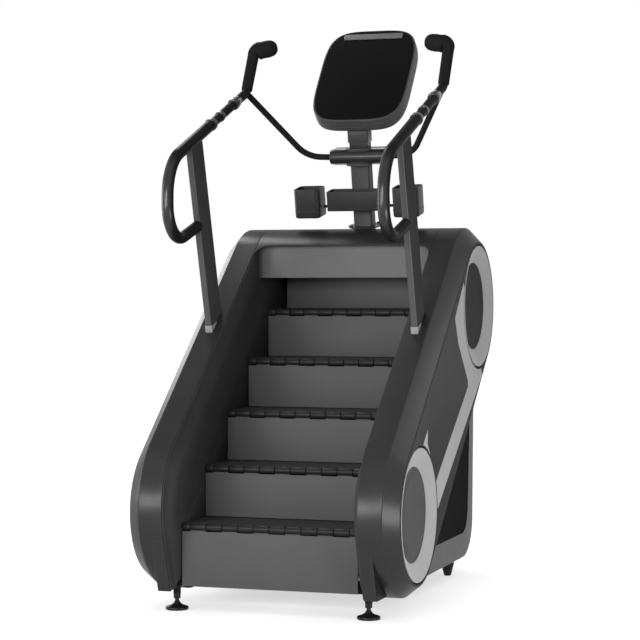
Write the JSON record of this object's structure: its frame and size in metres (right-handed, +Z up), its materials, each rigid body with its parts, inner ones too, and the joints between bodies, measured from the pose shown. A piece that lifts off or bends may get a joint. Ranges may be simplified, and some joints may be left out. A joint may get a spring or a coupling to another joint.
{
  "type": "stair climber",
  "caption": "Stair climbing exercise machine with a flight of hinged steps between drum-ended side covers, looped handrails, a console on a mast and cup holders.",
  "frame": {"origin": "on the floor under the middle of the machine's outer box", "axes": "+X to the user's right, +Y away from the user, +Z up"},
  "size_m": [1.062, 1.586, 2.3442],
  "materials": {
    "frame_black": "black powder coat",
    "rail_dark": "dark satin paint",
    "cover_grey": "dark grey moulded plastic",
    "skirt_dark": "near-black moulded plastic",
    "pale_trim": "pale grey satin plastic",
    "panel_grey": "mid grey satin plastic",
    "post_grey": "dark grey satin paint",
    "grip_black": "smooth black grip sleeve",
    "steel": "turned steel",
    "pulley_iron": "machined iron",
    "housing_alloy": "cast alloy",
    "belt_rubber": "black ribbed rubber",
    "foot_rubber": "black rubber",
    "screen_black": "black gloss",
    "holder_black": "black satin plastic",
    "tread_alloy": "dark ribbed alloy",
    "riser_alloy": "grey satin alloy"
  },
  "bodies": {
    "chassis": {"base_frame": "frame_black", "side_frame_left": "frame_black", "side_frame_right": "frame_black", "bearings": "steel", "guide_rails": "rail_dark", "inner_skirt_left": "skirt_dark", "inner_skirt_right": "skirt_dark", "side_cover_left": "cover_grey", "side_cover_right": "cover_grey", "side_inlays": "pale_trim", "disc_rings": "pale_trim", "disc_caps": "skirt_dark", "hood": "cover_grey", "apron": "panel_grey", "base_cover": "cover_grey", "rear_panels": "skirt_dark", "post_left": "post_grey", "post_right": "post_grey", "post_collars": "pale_trim", "handlebar_left": "grip_black", "handlebar_right": "grip_black", "pulse_grips": "steel", "horn_left": "grip_black", "horn_right": "grip_black", "cross_tube_left": "frame_black", "cross_tube_right": "frame_black", "mast": "post_grey", "mast_clamp": "frame_black", "neck_sleeve": "cover_grey", "console_case": "cover_grey", "console_glass": "screen_black", "console_bar": "pale_trim", "tray": "holder_black", "cup_left": "holder_black", "cup_right": "holder_black", "holder_rods": "frame_black", "step_chains": "steel", "drive_belt": "belt_rubber", "brake_housing": "housing_alloy", "control_box": "holder_black", "rear_feet": "foot_rubber", "bolts": "steel"},
    "flight": {"tread_1": "tread_alloy", "tread_2": "tread_alloy", "tread_3": "tread_alloy", "tread_4": "tread_alloy", "tread_5": "tread_alloy", "tread_6": "tread_alloy"},
    "riser_body_1": {"riser_1": "riser_alloy"},
    "riser_body_2": {"riser_2": "riser_alloy"},
    "riser_body_3": {"riser_3": "riser_alloy"},
    "riser_body_4": {"riser_4": "riser_alloy"},
    "riser_body_5": {"riser_5": "riser_alloy"},
    "riser_body_6": {"riser_6": "riser_alloy"},
    "upper_axle": {"upper_shaft": "steel", "drive_pulley": "pulley_iron"},
    "lower_axle": {"lower_shaft": "steel"},
    "brake": {"brake_rotor": "steel"},
    "foot_left": {"front_foot_left": "foot_rubber"},
    "foot_right": {"front_foot_right": "foot_rubber"}
  },
  "joints": [
    {"name": "stair_travel", "type": "slide", "parent": "chassis", "child": "flight", "axis": [0, -0.7747, -0.6324], "range_m": [0, 0.08]},
    {"name": "upper_turn", "type": "hinge", "parent": "chassis", "child": "upper_axle", "pos_m": [0, 0.6033, 1.02891], "axis": [1, 0, 0], "range_deg": [0, 70]},
    {"name": "lower_turn", "type": "hinge", "parent": "chassis", "child": "lower_axle", "pos_m": [0, -0.44788, 0.17081], "axis": [1, 0, 0], "range_deg": [0, 70]},
    {"name": "brake_turn", "type": "hinge", "parent": "chassis", "child": "brake", "pos_m": [0, 0.5753, 0.56], "axis": [1, 0, 0], "range_deg": [0, 190]},
    {"name": "riser_1_swing", "type": "hinge", "parent": "flight", "child": "riser_body_1", "pos_m": [0, -0.65507, 0.3185], "axis": [-1, 0, 0], "range_deg": [0, 12]},
    {"name": "riser_2_swing", "type": "hinge", "parent": "flight", "child": "riser_body_2", "pos_m": [0, -0.41008, 0.5185], "axis": [-1, 0, 0], "range_deg": [0, 12]},
    {"name": "riser_3_swing", "type": "hinge", "parent": "flight", "child": "riser_body_3", "pos_m": [0, -0.16507, 0.7185], "axis": [-1, 0, 0], "range_deg": [0, 12]},
    {"name": "riser_4_swing", "type": "hinge", "parent": "flight", "child": "riser_body_4", "pos_m": [0, 0.07992, 0.9185], "axis": [-1, 0, 0], "range_deg": [0, 12]},
    {"name": "riser_5_swing", "type": "hinge", "parent": "flight", "child": "riser_body_5", "pos_m": [0, 0.32493, 1.1185], "axis": [-1, 0, 0], "range_deg": [0, 12]},
    {"name": "riser_6_swing", "type": "hinge", "parent": "flight", "child": "riser_body_6", "pos_m": [0, 0.56993, 1.3185], "axis": [-1, 0, 0], "range_deg": [0, 12]},
    {"name": "foot_left_screw", "type": "hinge", "parent": "chassis", "child": "foot_left", "pos_m": [-0.38, -0.63807, 0], "axis": [0, 0, 1], "continuous": true},
    {"name": "foot_right_screw", "type": "hinge", "parent": "chassis", "child": "foot_right", "pos_m": [0.38, -0.63807, 0], "axis": [0, 0, 1], "continuous": true}
  ],
  "couplings": [
    {"joint": "upper_turn", "follows": "stair_travel", "rad_per_m": 14.286},
    {"joint": "lower_turn", "follows": "stair_travel", "rad_per_m": 14.286},
    {"joint": "brake_turn", "follows": "stair_travel", "rad_per_m": 39.872}
  ]
}
